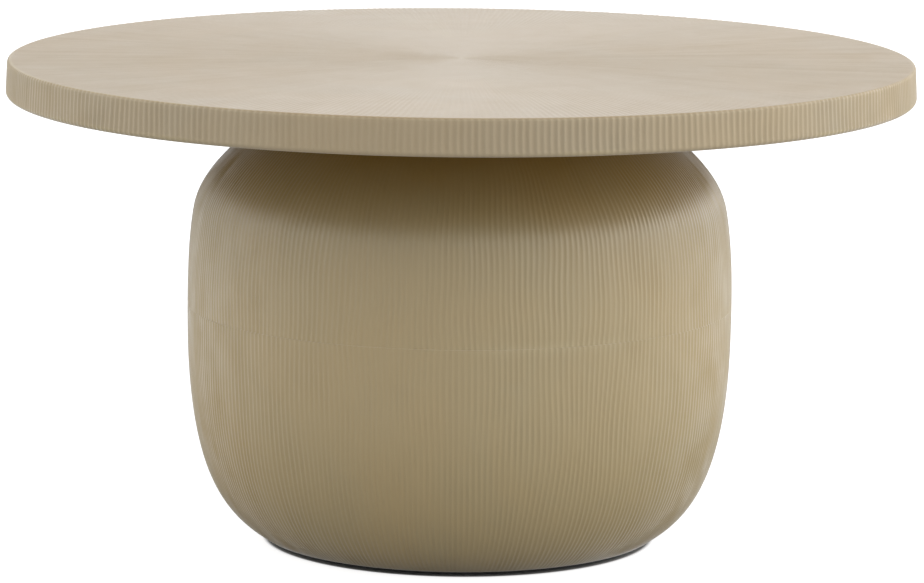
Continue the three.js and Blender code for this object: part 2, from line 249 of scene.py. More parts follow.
class Sketch:
    """Collects the points and faces of one closed piece, ring by ring."""

    SHARP = math.radians(62)  # faces that meet more sharply than this keep a crisp edge
    WITHOUT_HOLES = 2  # how a filled area treats the rings inside it
    MERGED = 1e-9  # points nearer than this count as one
    WANDER_WAVES, SWELL_WAVES, DENT_WAVES = 5, 9, 24  # how many are laid over each other
    SWELL_SEED = 5  # one for both bowls, so that the swell meets across their seam
    DENTED = (0.2, 1.6)  # shares of its usual depth that a flute keeps within
    CALM = 3  # flutes narrower than this many depths swell less

    def __init__(self) -> None:
        """Starts an empty sketch."""
        self.points: list[np.ndarray] = []
        self.marks: list[np.ndarray] = []
        self.faces: list[list[int]] = []
        self.count = 0

    def add(self, points: np.ndarray, hollows: np.ndarray | float = 0.0,
            rubbed: float = 0.0, deep: float = 0.0) -> np.ndarray:
        """Adds points.

        Args:
            points: Their places.
            hollows: How far down a flute each lies, from 0 to 1, which also sets the painted shade
                in the hollows.
            rubbed: How much they are lightened, from 0 to 1, as painted highlight on rounded edges
                and a paler band along the seam.
            deep: How much painted shade they take, from 0 to 1.

        Returns:
            Their numbers in the piece.
        """
        numbers = np.arange(self.count, self.count + len(points))
        self.points.append(np.asarray(points, float))
        plain = np.ones(len(points))
        self.marks.append(np.stack([plain * hollows, plain * rubbed, plain * deep], 1))
        self.count += len(points)
        return numbers

    def circle(self, radius: float, height: float, sides: int,
               centre: Sequence[float] = (0.0, 0.0)) -> np.ndarray:
        """Adds a level ring of points.

        Args:
            radius: Its radius.
            height: Its height.
            sides: How many points it has.
            centre: Where its middle is, seen from above.

        Returns:
            Their numbers in the piece.
        """
        angles = np.arange(sides) * TURN / sides
        rims = [centre[0] + radius * np.cos(angles), centre[1] + radius * np.sin(angles)]
        return self.add(np.stack([*rims, np.full(sides, height)], 1))

    def band(self, first: np.ndarray, second: np.ndarray) -> None:
        """Joins two rings of as many points with four-sided faces."""
        quads = np.stack([first, np.roll(first, -1), np.roll(second, -1), second], 1)
        self.faces += quads.tolist()

    def fan(self, ring: np.ndarray, tip: np.ndarray) -> None:
        """Closes a ring onto one point."""
        peaks = np.full(len(ring), tip[0])
        self.faces += np.stack([ring, np.roll(ring, -1), peaks], 1).tolist()

    def plate(self, outer: np.ndarray, holes: Sequence[np.ndarray] = ()) -> None:
        """Fills a level area inside one ring and outside others.

        Args:
            outer: The ring round it.
            holes: The rings that it leaves open.
        """
        loops = [outer, *holes]
        numbers = np.concatenate(loops)
        places = np.vstack(self.points)[numbers][:, :2]
        starts = np.cumsum([0, *(len(loop) for loop in loops)])
        borders = [list(range(a, b)) for a, b in zip(starts, starts[1:])]
        flat = [Vector(place) for place in places]
        _, _, faces, origins, *_ = delaunay_2d_cdt(flat, [], borders, self.WITHOUT_HOLES,
                                                   self.MERGED)
        for corners in faces:
            self.faces.append([int(numbers[origins[c][0]]) for c in corners])

    def fluted(self, rows: Rows, fluting: Fluting) -> list[np.ndarray]:
        """Adds a fluted turned surface.

        Args:
            rows: Its rings.
            fluting: Its flutes.

        Returns:
            The point numbers of each ring, first to last.
        """
        angles, hollows, depths = fluting.section()
        steps = np.linalg.norm(np.diff(rows.places, axis=0), axis=1)
        rise = math.copysign(1, rows.places[-1, 1] - rows.places[0, 1])
        lengths = np.concatenate([[0.0], np.cumsum(steps)]) * rise
        wander = fluting.waves(angles, lengths, self.WANDER_WAVES, fluting.long, fluting.seed)
        swell = np.tanh(fluting.waves(angles, lengths, self.SWELL_WAVES, fluting.long,
                                      self.SWELL_SEED))
        dents = fluting.waves(angles, lengths, self.DENT_WAVES, fluting.short, fluting.seed + 1)
        uneven = np.clip(1 + fluting.unevenness * dents, *self.DENTED)
        rings = []
        for i, ((radius, height), (inward, down)) in enumerate(zip(rows.places, rows.inwards)):
            width = TURN * radius / fluting.count
            cut = min(fluting.depth, fluting.depth_share * width) * rows.cuts[i]
            sunk = fluting.swell * min(rows.cuts[i], 1) * (0.5 + 0.5 * swell[i])
            sunk = sunk * min(1, width / (self.CALM * fluting.depth))
            moved = cut * hollows * depths * uneven[i] + sunk + rows.eased[i]
            out = radius + inward * moved
            turn = angles + wander[i] * fluting.drift * TURN / fluting.count
            ring = np.stack([out * np.cos(turn), out * np.sin(turn), height + down * moved], 1)
            # How far down its flute each point lies, which the finish turns into painted shade in
            # the hollows
            depth_share = hollows * depths * min(rows.cuts[i], 1)
            rings.append(self.add(ring, depth_share, rows.rubbed[i], rows.deep[i]))
        for first, second in zip(rings, rings[1:]):
            self.band(first, second)
        return rings

    def build(self, name: str, material: bpy.types.Material) -> bpy.types.Object:
        """Makes the piece, with its faces turned out.

        Args:
            name: The piece's name.
            material: Its finish.

        Returns:
            The new object, linked into the scene.
        """
        mesh = bpy.data.meshes.new(name)
        mesh.from_pydata(np.vstack(self.points).tolist(), [], self.faces)
        work = bmesh.new()
        work.from_mesh(mesh)
        bmesh.ops.recalc_face_normals(work, faces=work.faces)
        work.to_mesh(mesh)
        work.free()
        for column, label in enumerate(MARKS):
            mark = mesh.attributes.new(label, "FLOAT", "POINT")
            mark.data.foreach_set("value", np.vstack(self.marks)[:, column].astype(np.float32))
        mesh.shade_smooth()
        mesh.set_sharp_from_angle(angle=self.SHARP)
        mesh.materials.append(material)
        thing = bpy.data.objects.new(name, mesh)
        bpy.context.scene.collection.objects.link(thing)
        return thing


# ---- Finishes ----


class Wiring:
    """Adds nodes to a material, a world or a node group, and joins them."""

    def __init__(self, tree: bpy.types.NodeTree) -> None:
        """Takes the tree that nodes are added to."""
        self.tree = tree

    def add(self, kind: str, inputs: dict[str | int, Value] | None = None,
            **settings: object) -> bpy.types.Node:
        """Adds a node.

        Args:
            kind: The node's type.
            inputs: A value or another node's output for each named or numbered input.
            settings: The node's own settings.

        Returns:
            The new node.
        """
        node = self.tree.nodes.new(kind)
        for name, value in settings.items():
            setattr(node, name, value)
        for key, value in (inputs or {}).items():
            self.feed(node.inputs[key], value)
        return node

    def feed(self, socket: Socket, value: Value) -> None:
        """Sets an input, or links it where the value is another node's output.

        Args:
            socket: The input.
            value: The value, or another node's output.
        """
        if isinstance(value, bpy.types.NodeSocket):
            self.tree.links.new(value, socket)
        else:
            socket.default_value = value

    def maths(self, operation: str, first: Value, second: Value = 0.5) -> Socket:
        """One sum on two numbers."""
        node = self.add("ShaderNodeMath", {0: first, 1: second}, operation=operation)
        return node.outputs[0]

    def times(self, first: Value, second: Value) -> Socket:
        """Product of two numbers."""
        return self.maths("MULTIPLY", first, second)

    def remap(self, value: Value, low: float, high: float, new_low: float,
              new_high: float) -> Socket:
        """Moves a number from one range to another, and holds it there.

        Args:
            value: The number.
            low: Start of the range that it comes from.
            high: End of that range.
            new_low: Start of the range that it goes to.
            new_high: End of that range.

        Returns:
            The moved number.
        """
        ends = {"Value": value, "From Min": low, "From Max": high,
                "To Min": new_low, "To Max": new_high}
        return self.add("ShaderNodeMapRange", ends).outputs[0]

    def colours(self, share: Value, first: Value, second: Value,
                blend: Blend = Blend.MIX) -> Socket:
        """Lays the second colour over the first by a share.

        Args:
            share: How much of the second is laid on.
            first: The colour below.
            second: The colour above.
            blend: How they are joined.

        Returns:
            The joined colour.
        """
        node = self.add("ShaderNodeMix", {0: share, 6: first, 7: second},
                        data_type="RGBA", blend_type=blend.value)
        return node.outputs[2]

    def layers(self, tint: Value, *layers: tuple[Value, str]) -> Socket:
        """Lays colours over a tint, one after the other.

        Args:
            tint: The colour below.
            layers: Share and screen colour of each layer.

        Returns:
            The joined colour.
        """
        for share, code in layers:
            tint = self.colours(share, tint, paint(code))
        return tint

    def clouds(self, place: Value, scale: Value, detail: float = 3.0,
               roughness: float = 0.5, warp: float = 0.0) -> Socket:
        """Soft random noise from 0 to 1.

        Args:
            place: Where it is read.
            scale: How fine it is.
            detail: How many finer layers it has.
            roughness: How strong the finer layers are.
            warp: How far it is bent by itself.

        Returns:
            The noise.
        """
        node = self.add("ShaderNodeTexNoise", {"Vector": place, "Scale": scale, "Detail": detail,
                                               "Roughness": roughness, "Distortion": warp})
        return node.outputs["Fac"]

    def stretched(self, place: Value, factors: Sequence[float]) -> Socket:
        """Coordinates with each axis multiplied by its own factor."""
        node = self.add("ShaderNodeVectorMath", {0: place, 1: factors}, operation="MULTIPLY")
        return node.outputs[0]

    def upright(self, direction: Value) -> Socket:
        """The share of a direction or place that lies along Z."""
        return self.add("ShaderNodeSeparateXYZ", {0: direction}).outputs["Z"]


class Group(Wiring):
    """A new node group for a shared effect."""

    def __init__(self, name: str, inputs: dict[str, float], outputs: Sequence[str]) -> None:
        """Starts the group, which takes a place on the surface as well.

        Args:
            name: The group's name.
            inputs: Its number inputs and their usual values.
            outputs: Its number outputs.
        """
        super().__init__(bpy.data.node_groups.new(name, "ShaderNodeTree"))
        sockets = self.tree.interface
        sockets.new_socket("Place", in_out="INPUT", socket_type="NodeSocketVector")
        for label, usual in inputs.items():
            made = sockets.new_socket(label, in_out="INPUT", socket_type="NodeSocketFloat")
            made.default_value = usual
        for label in outputs:
            sockets.new_socket(label, in_out="OUTPUT", socket_type="NodeSocketFloat")
        self.given = self.add("NodeGroupInput").outputs
        self.out = self.add("NodeGroupOutput").inputs

    def noise(self, share: float = 1.0, **shape: float) -> Socket:
        """Noise at the group's place and a share of its scale."""
        scale = self.given["Scale"] if share == 1 else self.times(self.given["Scale"], share)
        return self.clouds(self.given["Place"], scale, **shape)

    def close(self, **values: Value) -> bpy.types.NodeTree:
        """Gives the group's outputs their values.

        Args:
            values: A value or another node's output for each.

        Returns:
            The node group.
        """
        for label, value in values.items():
            self.feed(self.out[label], value)
        return self.tree


class Effects:
    """Surface effects that several finishes share, each a node group made once."""

    def __init__(self) -> None:
        """Makes every shared effect."""
        self.patches = self.uneven_patches()
        self.grit = self.fine_grit()
        self.wear = self.edge_wear()
        self.dust = self.settled_dust()
        self.fibres = self.wood_fibres()

    @staticmethod
    def uneven_patches() -> bpy.types.NodeTree:
        """Broad uneven patches: a mask that drifts between 0 and 1.

        Returns:
            The node group.
        """
        group = Group("uneven_patches", {"Scale": 8.0, "Contrast": 1.0}, ["Mask"])
        centred = group.maths("SUBTRACT", group.noise(detail=4.0, roughness=0.55, warp=0.6), 0.5)
        spread = group.times(centred, group.given["Contrast"])
        return group.close(Mask=group.maths("ADD", spread, 0.5))

    @staticmethod
    def fine_grit() -> bpy.types.NodeTree:
        """Fine sandy grit: a height for bumps and a mask of darker specks.

        Returns:
            The node group.
        """
        group = Group("fine_grit", {"Scale": 900.0, "Specks": 0.2}, ["Height", "Mask"])
        fine = group.noise(detail=5.0, roughness=0.62)
        coarse = group.noise(0.22)
        specks = group.remap(fine, 0.62, 0.74, 0.0, 1.0)
        height = group.maths("ADD", group.times(fine, 0.6), group.times(coarse, 0.4))
        return group.close(Height=height, Mask=group.times(specks, group.given["Specks"]))

    @staticmethod
    def edge_wear() -> bpy.types.NodeTree:
        """Wear along edges: strong where the surface is convex, and broken up by noise.

        Returns:
            The node group.
        """
        group = Group("edge_wear", {"Scale": 60.0, "Amount": 0.5}, ["Mask"])
        bend = group.add("ShaderNodeNewGeometry").outputs["Pointiness"]
        edges = group.remap(bend, 0.51, 0.6, 0.0, 1.0)
        broken = group.remap(group.noise(detail=4.0), 0.35, 0.65, 0.2, 1.0)
        return group.close(Mask=group.times(group.times(edges, broken), group.given["Amount"]))

    @staticmethod
    def settled_dust() -> bpy.types.NodeTree:
        """Dust that settles on faces that look up, in soft drifts.

        Returns:
            The node group.
        """
        group = Group("settled_dust", {"Scale": 25.0, "Amount": 0.3}, ["Mask"])
        height = group.upright(group.add("ShaderNodeNewGeometry").outputs["Normal"])
        facing = group.remap(height, 0.2, 0.95, 0.0, 1.0)
        drifts = group.remap(group.noise(detail=5.0), 0.35, 0.7, 0.35, 1.0)
        return group.close(Mask=group.times(group.times(facing, drifts), group.given["Amount"]))

    @staticmethod
    def wood_fibres() -> bpy.types.NodeTree:
        """Wood figure: dark year lines and fine pores, already stretched along the grain.

        Returns:
            The node group.
        """
        group = Group("wood_fibres", {"Scale": 40.0, "Lines": 0.7}, ["Mask", "Height"])
        bends = group.noise(detail=2.0, roughness=0.4, warp=0.8)
        rings = group.maths("FRACT", group.times(bends, 9.0))
        pores = group.remap(group.noise(14.0, roughness=0.6), 0.45, 0.7, 0.0, 1.0)
        drawn = group.times(group.remap(rings, 0.0, 1.0, 0.1, 1.0), group.given["Lines"])
        return group.close(Mask=group.maths("ADD", drawn, group.times(pores, 0.3)),
                           Height=group.maths("SUBTRACT", 1.0, pores))


class Surface(Wiring):
    """A new material with its surface shader, and the place on the surface in metres."""

    def __init__(self, name: str) -> None:
        """Starts the material.

        Args:
            name: The material's name.
        """
        self.material = bpy.data.materials.new(name)
        self.material.use_nodes = True
        super().__init__(self.material.node_tree)
        self.tree.nodes.clear()
        self.shader = self.add("ShaderNodeBsdfPrincipled")
        self.output = self.add("ShaderNodeOutputMaterial",
                               {"Surface": self.shader.outputs["BSDF"]})

    @property
    def place(self) -> Socket:
        """Place on the surface, in metres."""
        return self.add("ShaderNodeTexCoord").outputs["Object"]

    def mark(self, name: str) -> Socket:
        """One of the numbers that a sketch gives its points."""
        return self.add("ShaderNodeAttribute", attribute_name=name).outputs["Fac"]

    def effect(self, tree: bpy.types.NodeTree, **inputs: Value) -> bpy.types.NodeOutputs:
        """Places a shared effect with its own values.

        Args:
            tree: The effect.
            inputs: A value for each of its inputs. Without a place it is read where it lies.

        Returns:
            Its outputs.
        """
        given = {"Place": self.place} | inputs
        return self.add("ShaderNodeGroup", given, node_tree=tree).outputs

    def preset(self, **values: float) -> None:
        """Sets the shader's own inputs, named with underscores for spaces."""
        for name, value in values.items():
            self.shader.inputs[name.replace("_", " ")].default_value = value

    def close(self, tint: Socket, rough: Socket, height: Socket,
              distance: float) -> bpy.types.Material:
        """Gives the shader its colour, roughness and bumps.

        Args:
            tint: The colour.
            rough: The roughness.
            height: How far each spot is raised, from 0 to 1.
            distance: Height of the bumps in metres.

        Returns:
            The finished material.
        """
        bump = self.add("ShaderNodeBump", {"Height": height, "Distance": distance, "Strength": 1})
        made = {"Base Color": tint, "Roughness": rough, "Normal": bump.outputs["Normal"]}
        for name, value in made.items():
            self.feed(self.shader.inputs[name], value)
        return self.material


@dataclass(frozen=True)
class Finish:
    """What every finish has.

    Attributes:
        name: The material's name.
    """

    name: str


@dataclass(frozen=True)
class CastFinish(Finish):
    """Cast mineral composite with a satin skin, with painted shade in the hollows of its flutes.

    Attributes:
        body: Its main colour.
        warm: Colour of its warmer patches.
        cool: Colour of its cooler patches.
        hollow: Colour of the painted shade in the flutes, and of the grit's darker specks.
        painted_highlight_and_wear: Colour of the painted highlight on rounded edges, of the paler
            band along the seam, and of worn edges.
        deeper: Multiplies the colour as painted shade where the deep mark is set.
        dusty: Colour of the dust on it.
        hollow_shade_share: How strongly the painted shade darkens the flutes.
        roughness: Usual roughness of the skin.
        bending: Its refractive index.
        sheen: Strength of the pale bloom at glancing angles.
        brushed: How much its gloss is drawn out across the flutes.
        coat: Strength of a thin dull coat over it.
    """

    body: str = "#ad986c"
    warm: str = "#b09868"
    cool: str = "#a99870"
    hollow: str = "#8b7a50"
    painted_highlight_and_wear: str = "#c0b08a"
    # The default deeper colour is the painted shade on the drum's dome under the tabletop
    deeper: str = "#fada6e"
    dusty: str = "#c9c0ad"
    hollow_shade_share: float = 0.06
    roughness: float = 0.38
    bending: float = 1.66
    sheen: float = 1.0
    brushed: float = 0.0
    coat: float = 0.0

    def material(self, effects: Effects) -> bpy.types.Material:
        """Makes the material.

        Args:
            effects: The shared effects.

        Returns:
            The new material.
        """
        made = Surface(self.name)
        # The three marks: painted shade in the flute hollows, painted highlight on rounded edges
        # with a paler seam band, and painted shade on the face and the dome
        depth, edge, painted_shade_share = (made.mark(name) for name in MARKS)
        broad = made.effect(effects.patches, Scale=5.0, Contrast=2.2)["Mask"]
        small = made.effect(effects.patches, Scale=28.0, Contrast=1.8)["Mask"]
        grit = made.effect(effects.grit, Scale=1100.0, Specks=0.35)
        wear = made.effect(effects.wear, Scale=45.0, Amount=0.4)["Mask"]
        dust = made.effect(effects.dust, Scale=18.0, Amount=0.12)["Mask"]
        tint = made.colours(broad, paint(self.warm), paint(self.cool))
        tint = made.layers(tint, (made.remap(small, 0, 1, 0, 0.6), self.body))
        # Painted shade: the deeper colour multiplies the tint on the tabletop's face and on the
        # drum's dome under the tabletop
        tint = made.colours(painted_shade_share, tint, paint(self.deeper), Blend.MULTIPLY)
        # Painted highlight on the rim's rounded edges and a paler band along the drum's seam,
        # stronger in broad patches
        highlight_and_seam_band = made.times(edge, made.remap(broad, 0.5, 0.8, 0.08, 0.6))
        # Painted shade in the flute hollows; the grit's specks and the dust are the skin's own
        # colour
        tint = made.layers(tint, (made.times(depth, self.hollow_shade_share), self.hollow),
                           (highlight_and_seam_band, self.painted_highlight_and_wear), (wear, self.painted_highlight_and_wear),
                           (grit["Mask"], self.hollow), (dust, self.dusty))
        uneven = made.remap(small, 0.2, 0.8, self.roughness - 0.02, self.roughness + 0.03)
        rough = made.maths("ADD", uneven, made.times(depth, 0.06))
        made.preset(IOR=self.bending, Sheen_Weight=self.sheen, Sheen_Roughness=0.3,
                    Coat_Weight=self.coat, Coat_Roughness=0.45, Anisotropic=self.brushed)
        round_axis = made.add("ShaderNodeTangent", direction_type="RADIAL", axis="Z")
        made.feed(made.shader.inputs["Tangent"], round_axis.outputs["Tangent"])
        return made.close(tint, rough, grit["Height"], 0.00012)


@dataclass(frozen=True)
class WoodFinish(Finish):
    """Bare wood with year lines and pores.

    Attributes:
        early: Colour between the year lines.
        late: Colour of the year lines.
        fibre: Axis that the grain runs along.
        ply: Thickness of one ply where the edge shows plies, or zero for solid timber.
        scale: Size of the figure.
        roughness: Usual roughness.
        drawn_out: How much the figure is stretched along the grain.
    """

    early: str
    late: str
    fibre: Fibre
    ply: float = 0.0
    scale: float = 30.0
    roughness: float = 0.62
    drawn_out: float = 0.07

    def material(self, effects: Effects) -> bpy.types.Material:
        """Makes the material.

        Args:
            effects: The shared effects.

        Returns:
            The new material.
        """
        made = Surface(self.name)
        factors = [1.0, 1.0, 1.0]
        factors[self.fibre.value] = self.drawn_out
        drawn = made.effect(effects.fibres, Place=made.stretched(made.place, factors),
                            Scale=self.scale, Lines=0.7)
        tone = made.effect(effects.patches, Scale=9.0, Contrast=1.5)["Mask"]
        figure = made.colours(drawn["Mask"], paint(self.early), paint(self.late))
        deeper = made.colours(0.35, figure, paint(self.late), Blend.MULTIPLY)
        tint = made.colours(tone, figure, deeper)
        if self.ply:
            tint = made.colours(self.edge(made), tint,
                                made.colours(0.55, tint, self.plies(made)))
        rough = made.remap(drawn["Mask"], 0, 1, self.roughness, self.roughness + 0.16)
        return made.close(tint, rough, drawn["Height"], 0.00015)

    def plies(self, made: Surface) -> Socket:
        """Colour of the plies that show on an edge, by height.

        Args:
            made: The material being made.

        Returns:
            The colour.
        """
        layer = made.maths("FRACT", made.maths("DIVIDE", made.upright(made.place), 2 * self.ply))
        cross = made.remap(layer, 0.48, 0.52, 0.0, 1.0)
        return made.colours(cross, paint(self.early), paint(self.late))

    @staticmethod
    def edge(made: Surface) -> Socket:
        """1 on faces that stand upright, and 0 on level ones."""
        normal = made.add("ShaderNodeTexCoord").outputs["Normal"]
        return made.remap(made.maths("ABSOLUTE", made.upright(normal)), 0.2, 0.6, 1.0, 0.0)


@dataclass(frozen=True)
class CoatFinish(Finish):
    """A painted, moulded or bonded surface with grit, patches and rubbed edges.

    Attributes:
        body: Its main colour.
        patch: Colour of its uneven patches.
        rubbed: Colour of its rubbed edges.
        roughness: Usual roughness.
        grit: Fineness of its grit.
        relief: Height of its grit.
        dusty: Colour of the dust on it.
    """

    body: str
    patch: str
    rubbed: str
    roughness: float
    grit: float = 700.0
    relief: float = 0.00008
    dusty: str = "#9a9184"

    def material(self, effects: Effects) -> bpy.types.Material:
        """Makes the material.

        Args:
            effects: The shared effects.

        Returns:
            The new material.
        """
        made = Surface(self.name)
        patches = made.effect(effects.patches, Scale=14.0, Contrast=2.0)["Mask"]
        grit = made.effect(effects.grit, Scale=self.grit, Specks=0.4)
        wear = made.effect(effects.wear, Scale=80.0, Amount=0.6)["Mask"]
        dust = made.effect(effects.dust, Scale=30.0, Amount=0.2)["Mask"]
        tint = made.layers(paint(self.body), (patches, self.patch), (grit["Mask"], self.patch),
                           (wear, self.rubbed), (dust, self.dusty))
        rough = made.remap(patches, 0, 1, self.roughness - 0.06, self.roughness + 0.08)
        return made.close(tint, rough, grit["Height"], self.relief)


@dataclass(frozen=True)
class MetalFinish(Finish):
    """Plated steel with faint turning marks and dull spots.

    Attributes:
        bright: Colour of the clean plating.
        dull: Colour of its dull spots.
        roughness: Usual roughness.
        rubbed: Colour of its rubbed edges.
    """

    bright: str
    dull: str
    roughness: float = 0.3
    rubbed: str = "#d8d9da"

    def material(self, effects: Effects) -> bpy.types.Material:
        """Makes the material.

        Args:
            effects: The shared effects.

        Returns:
            The new material.
        """
        made = Surface(self.name)
        spots = made.effect(effects.patches, Scale=140.0, Contrast=2.4)["Mask"]
        turned = made.stretched(made.place, (1.0, 1.0, 6.0))
        grit = made.effect(effects.grit, Place=turned, Scale=1500.0, Specks=0.5)
        wear = made.effect(effects.wear, Scale=300.0, Amount=0.5)["Mask"]
        tint = made.layers(paint(self.bright), (spots, self.dull), (wear, self.rubbed))
        rough = made.remap(spots, 0, 1, self.roughness, self.roughness + 0.18)
        made.preset(Metallic=1.0)
        return made.close(tint, rough, grit["Height"], 0.00003)


def dress(nodes: Iterable[str], material: bpy.types.Material) -> None:
    """Gives CAD nodes a finish.

    Args:
        nodes: Their names.
        material: The finish.
    """
    for name in nodes:
        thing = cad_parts[name]
        thing.data.materials.clear()
        thing.data.materials.append(material)
        LOG.info("dressed %s in %s", name, material.name)


def settle(thing: bpy.types.Object, body: str, slot: str, *nodes: str) -> bpy.types.Object:
    """Puts a new piece on its body, in place of the solids that it stands for.

    Args:
        thing: The piece.
        body: The body it moves with.
        slot: The record's material slot for its finish; not used.
        nodes: The solids that it replaces.

    Returns:
        The same piece.
    """
    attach(thing, body)
    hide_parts(*nodes)
    LOG.info("built %s with %d faces", thing.name, len(thing.data.polygons))
    return thing


# ---- Sub-assemblies ----


@dataclass
class Tabletop:
    """Cast pan with radial flutes over its face and on down its rim, closed below by a board.

    Attributes:
        height: Height of the face.
        rim_radius: Radius at the foot of the rim.
        rim_height: Height of the rim.
        rim_draft: How far the rim leans in.
        top_rounding: Radius of its upper edge.
        foot_rounding: Radius of its lower edge.
        skin: Thickness under the face.
        rim_wall: Thickness at the foot of the rim.
        face_cut: Depth of the flutes on the face, as a share of the rim's.
        plain_sides: Points round a smooth circle.
        fluting: Its flutes.
    """

    height: float = 0.460
    rim_radius: float = 0.430
    rim_height: float = 0.0345
    rim_draft: float = math.radians(3)
    top_rounding: float = 0.003
    foot_rounding: float = 0.005
    skin: float = 0.008
    rim_wall: float = 0.010
    face_cut: float = 0.28
    plain_sides: int = 240
    fluting: Fluting = field(default_factory=lambda: Fluting(
        count=428, reach=0.3, depth=0.0013, depth_share=0.18, seed=11, swell=0.00008, drift=0.2,
        unevenness=0.2))

    def rim_at(self, height: float) -> float:
        """Radius of the rim's outer face at a height."""
        return self.rim_radius - (height - self.height + self.rim_height) * math.tan(self.rim_draft)

    def rounded(self, height: float, radius: float, angle: float) -> tuple[float, ...]:
        """A ring on a rounded edge of the rim.

        Args:
            height: Height of the rounding's middle.
            radius: Radius of the rounding.
            angle: How far round it the ring lies, up from level.

        Returns:
            Radius and height of the ring, and the two parts of the way in.
        """
        out, up = math.cos(angle), math.sin(angle)
        return (self.rim_at(height) - radius + radius * out, height + radius * up, -out, -up)

    def face_rows(self) -> list[tuple[float, ...]]:
        """Rings over the face, from near the middle to its rounded edge.

        Returns:
            Radius, height, the two parts of the way in, cut, rubbed and deep for each.
        """
        edge = self.rim_at(self.height - self.top_rounding) - self.top_rounding
        spots = [0.004, 0.010, 0.018, 0.028, 0.042, 0.060, 0.084, 0.114, 0.150, 0.192, 0.238,
                 0.286, 0.332, 0.374, 0.404, edge - 0.006, edge - 0.002]
        # The whole face takes painted shade: a darker, warmer tone that offsets the stronger light
        # on it
        return [(r, self.height, 0.0, -1.0, self.face_cut, 0.0, 1.0) for r in spots]

    def rim_rows(self) -> list[tuple[float, ...]]:
        """Rings over the rounded edge, down the rim and under it.

        Returns:
            The same seven numbers for each.
        """
        top = self.height - self.top_rounding
        foot = self.height - self.rim_height + self.foot_rounding
        lean = math.degrees(self.rim_draft)
        rows = []
        cuts = (0.2, 0.2, 0.3, 0.6, 0.95, 1.0, 1.0)
        # The shallow-cut upper part of the top rounding is lightened as painted highlight, and its
        # upward-facing part takes painted shade like the face
        for angle, cut in zip(np.radians(np.linspace(90, lean, len(cuts))), cuts):
            rows.append((*self.rounded(top, self.top_rounding, angle), cut,
                         0.6 if cut < 0.5 else 0.0, max(0.0, 2 * math.sin(angle) - 1)))
        inward, down = -math.cos(self.rim_draft), -math.sin(self.rim_draft)
        for drop in (0.003, 0.007, 0.011, 0.015, 0.019, 0.022, 0.0247):
            rows.append((self.rim_at(top - drop), top - drop, inward, down, 1.0, 0.0, 0.0))
        # The lower rounding is lightened as painted highlight, standing in for light from the floor
        shares = ((0.95, 0.3), (0.7, 0.9), (0.45, 1.0), (0.25, 0.8), (0.1, 0.4), (0.0, 0.2))
        for (share, rubbed), angle in zip(shares, np.radians(np.linspace(lean, -90, 6))):
            rows.append((*self.rounded(foot, self.foot_rounding, angle), share, rubbed, 0.0))
        return rows

    def pan(self, material: bpy.types.Material) -> bpy.types.Object:
        """Builds the fluted pan.

        Args:
            material: Its finish.

        Returns:
            The new piece.
        """
        sketch = Sketch()
        table = np.array(self.face_rows() + self.rim_rows())
        rows = Rows(table[:, :2], table[:, 2:4], table[:, 4], np.zeros(len(table)), table[:, 5],
                    table[:, 6])
        rings = sketch.fluted(rows, self.fluting)
        middle = sketch.add(np.array([[0.0, 0.0, self.height]]))
        sketch.fan(rings[0], middle)
        foot_z = self.height - self.rim_height
        roof_z = self.height - self.skin
        foot_radius = self.rim_radius - self.rim_wall
        roof_radius = foot_radius - (roof_z - foot_z) * math.tan(self.rim_draft)
        foot = sketch.circle(foot_radius, foot_z, self.plain_sides)
        roof = sketch.circle(roof_radius, roof_z, self.plain_sides)
        sketch.plate(rings[-1], [foot])
        sketch.band(foot, roof)
        sketch.plate(roof)
        return sketch.build("tabletop_cast", material)

    def assemble(self, effects: Effects) -> None:
        """Builds and dresses the whole tabletop.

        Args:
            effects: The shared effects.
        """
        # The deeper colour is painted shade on the face and the top of its rounded edge; the flutes
        # also carry painted shade
        cast = CastFinish("cast_tabletop", body="#b7a78c", warm="#baa788", cool="#b3a791",
                          deeper="#e0d7ca", hollow_shade_share=0.12, roughness=0.36, bending=1.27,
                          sheen=0.4, brushed=0.4).material(effects)
        settle(self.pan(cast), "root", "cast_body", "tabletop_shell")
        core = WoodFinish("core_plywood", "#c9ab7c", "#a07a4c", Fibre.ALONG_X, ply=0.0014)
        hub_parts = ["core_hub", *(f"core_segment_{i}" for i in range(1, 7))]
        dress(hub_parts, core.material(effects))
        board = CoatFinish("board_sealer", "#716a60", "#655e54", "#8a8375", 0.72, grit=500.0)
        dress(["underside_board"], board.material(effects))


